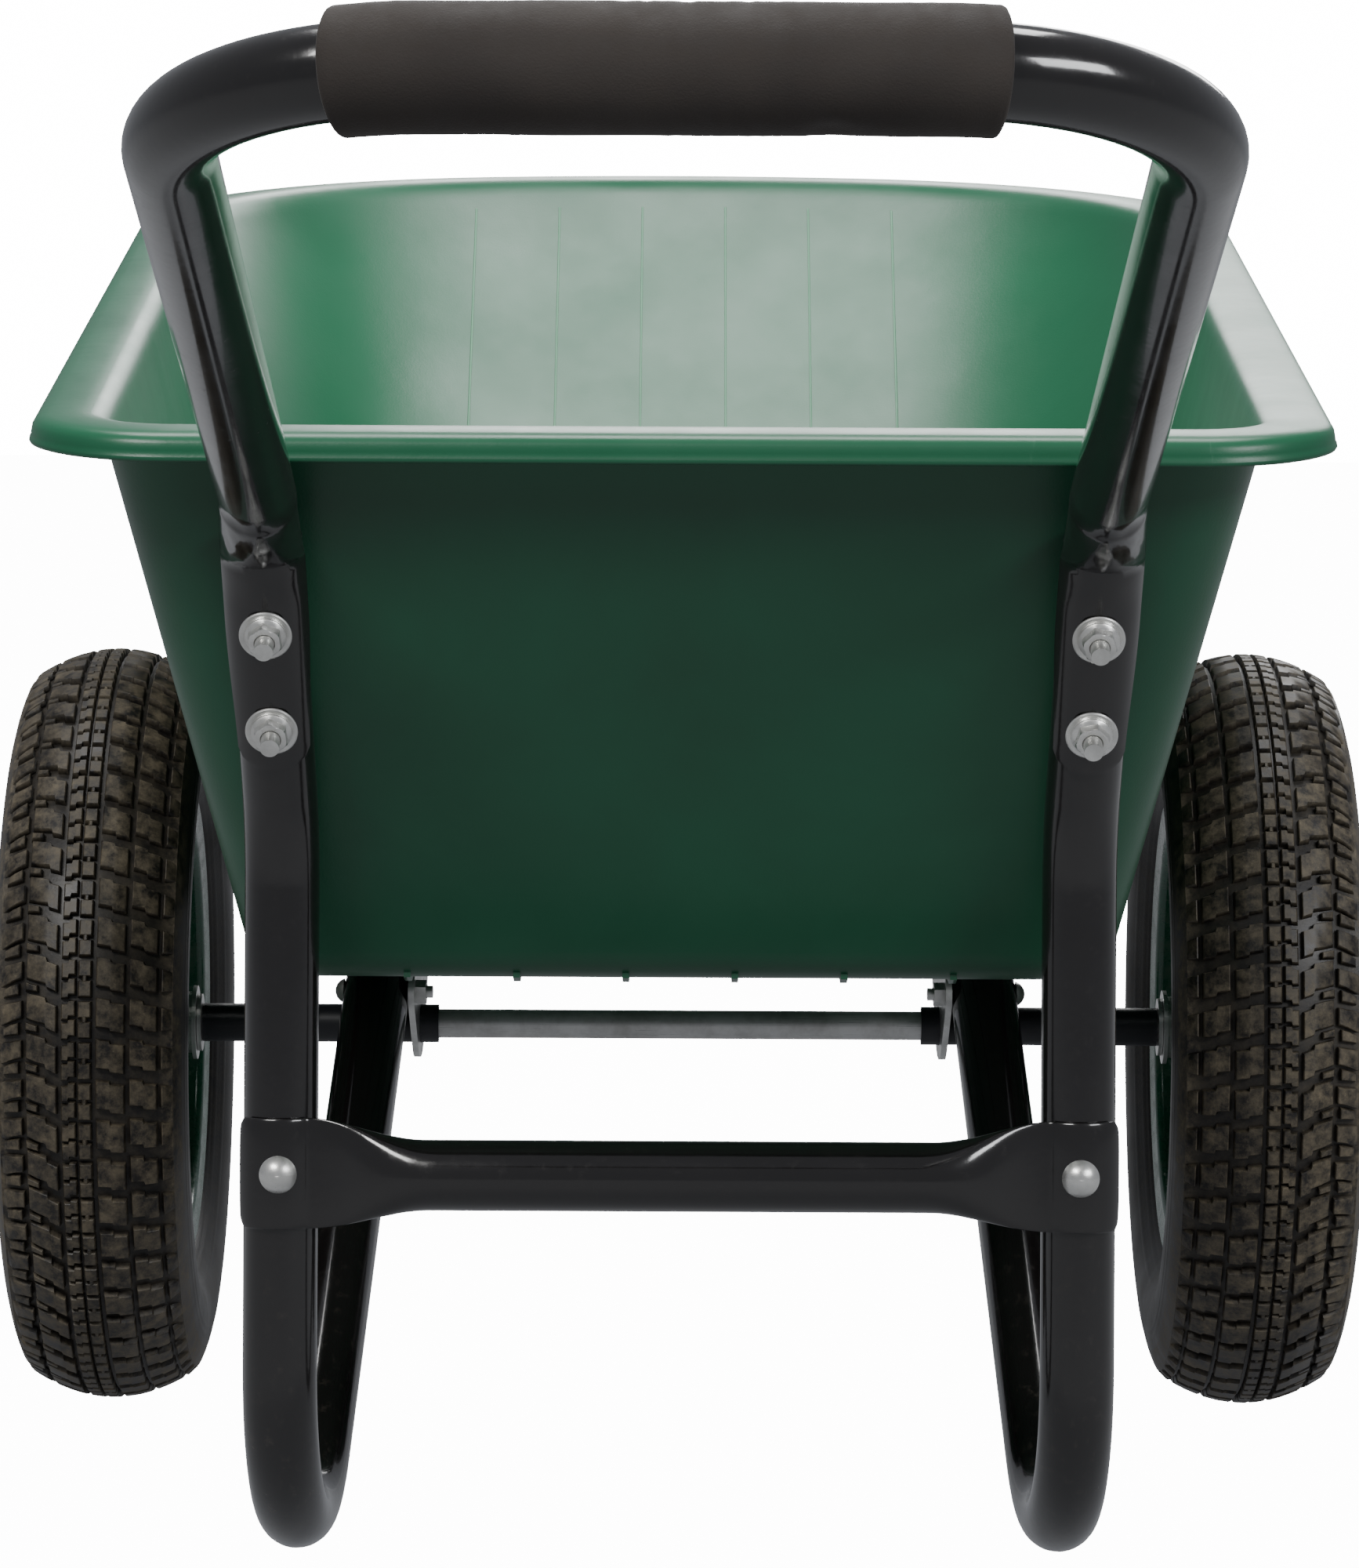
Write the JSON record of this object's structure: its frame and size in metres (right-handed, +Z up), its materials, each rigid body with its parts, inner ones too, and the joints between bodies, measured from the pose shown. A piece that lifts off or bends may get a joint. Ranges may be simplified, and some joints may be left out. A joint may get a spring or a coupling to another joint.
{
  "type": "wheelbarrow",
  "caption": "Yard cart with a moulded tray, bent-tube frame, loop handle with foam grip and two pneumatic wheels on one axle.",
  "frame": {"origin": "ground level, under the middle of the object's box", "axes": "+Z up, +Y towards the nose, +X to the right seen from the handle"},
  "size_m": [0.66, 1.6042, 0.6634],
  "materials": {
    "green_poly": "moulded, slightly glossy",
    "black_tube": "glossy powder coat",
    "black_plastic": "satin",
    "foam": "matt closed-cell foam",
    "zinc": "zinc plated",
    "tyre": "dusty rubber",
    "tube_rubber": "smooth",
    "green_rim": "painted steel"
  },
  "bodies": {
    "frame": {"tray": "green_poly", "right_rail": "black_tube", "left_rail": "black_tube", "rail_plugs": "black_plastic", "handle_loop": "black_tube", "foam_grip": "foam", "cross_brace": "black_tube", "axle_rod": "zinc", "right_axle_sleeve": "black_plastic", "left_axle_sleeve": "black_plastic", "right_axle_bracket": "zinc", "left_axle_bracket": "zinc", "axle_washers": "zinc", "cotter_pins": "zinc", "handle_bolts": "zinc", "handle_washers": "zinc", "handle_nuts": "zinc", "tray_bolts": "zinc", "tray_washers": "zinc", "tray_nuts": "zinc", "brace_bolts": "zinc", "brace_nuts": "zinc", "bracket_bolts": "zinc", "bracket_nuts": "zinc"},
    "right_wheel": {"right_tyre": "tyre", "right_inner_tube": "tube_rubber", "right_rim_outer": "green_rim", "right_rim_inner": "green_rim", "right_hub": "zinc", "right_bush_outer": "zinc", "right_bush_inner": "zinc", "right_rim_bolts": "zinc", "right_rim_nuts": "zinc", "right_valve_stem": "tube_rubber", "right_valve_cap": "black_plastic"},
    "left_wheel": {"left_tyre": "tyre", "left_inner_tube": "tube_rubber", "left_rim_outer": "green_rim", "left_rim_inner": "green_rim", "left_hub": "zinc", "left_bush_outer": "zinc", "left_bush_inner": "zinc", "left_rim_bolts": "zinc", "left_rim_nuts": "zinc", "left_valve_stem": "tube_rubber", "left_valve_cap": "black_plastic"}
  },
  "joints": [
    {"name": "right_wheel_spin", "type": "hinge", "parent": "frame", "child": "right_wheel", "pos_m": [0.2745, 0.19765, 0.183], "axis": [1, 0, 0], "continuous": true},
    {"name": "left_wheel_spin", "type": "hinge", "parent": "frame", "child": "left_wheel", "pos_m": [-0.2745, 0.19765, 0.183], "axis": [1, 0, 0], "continuous": true}
  ]
}
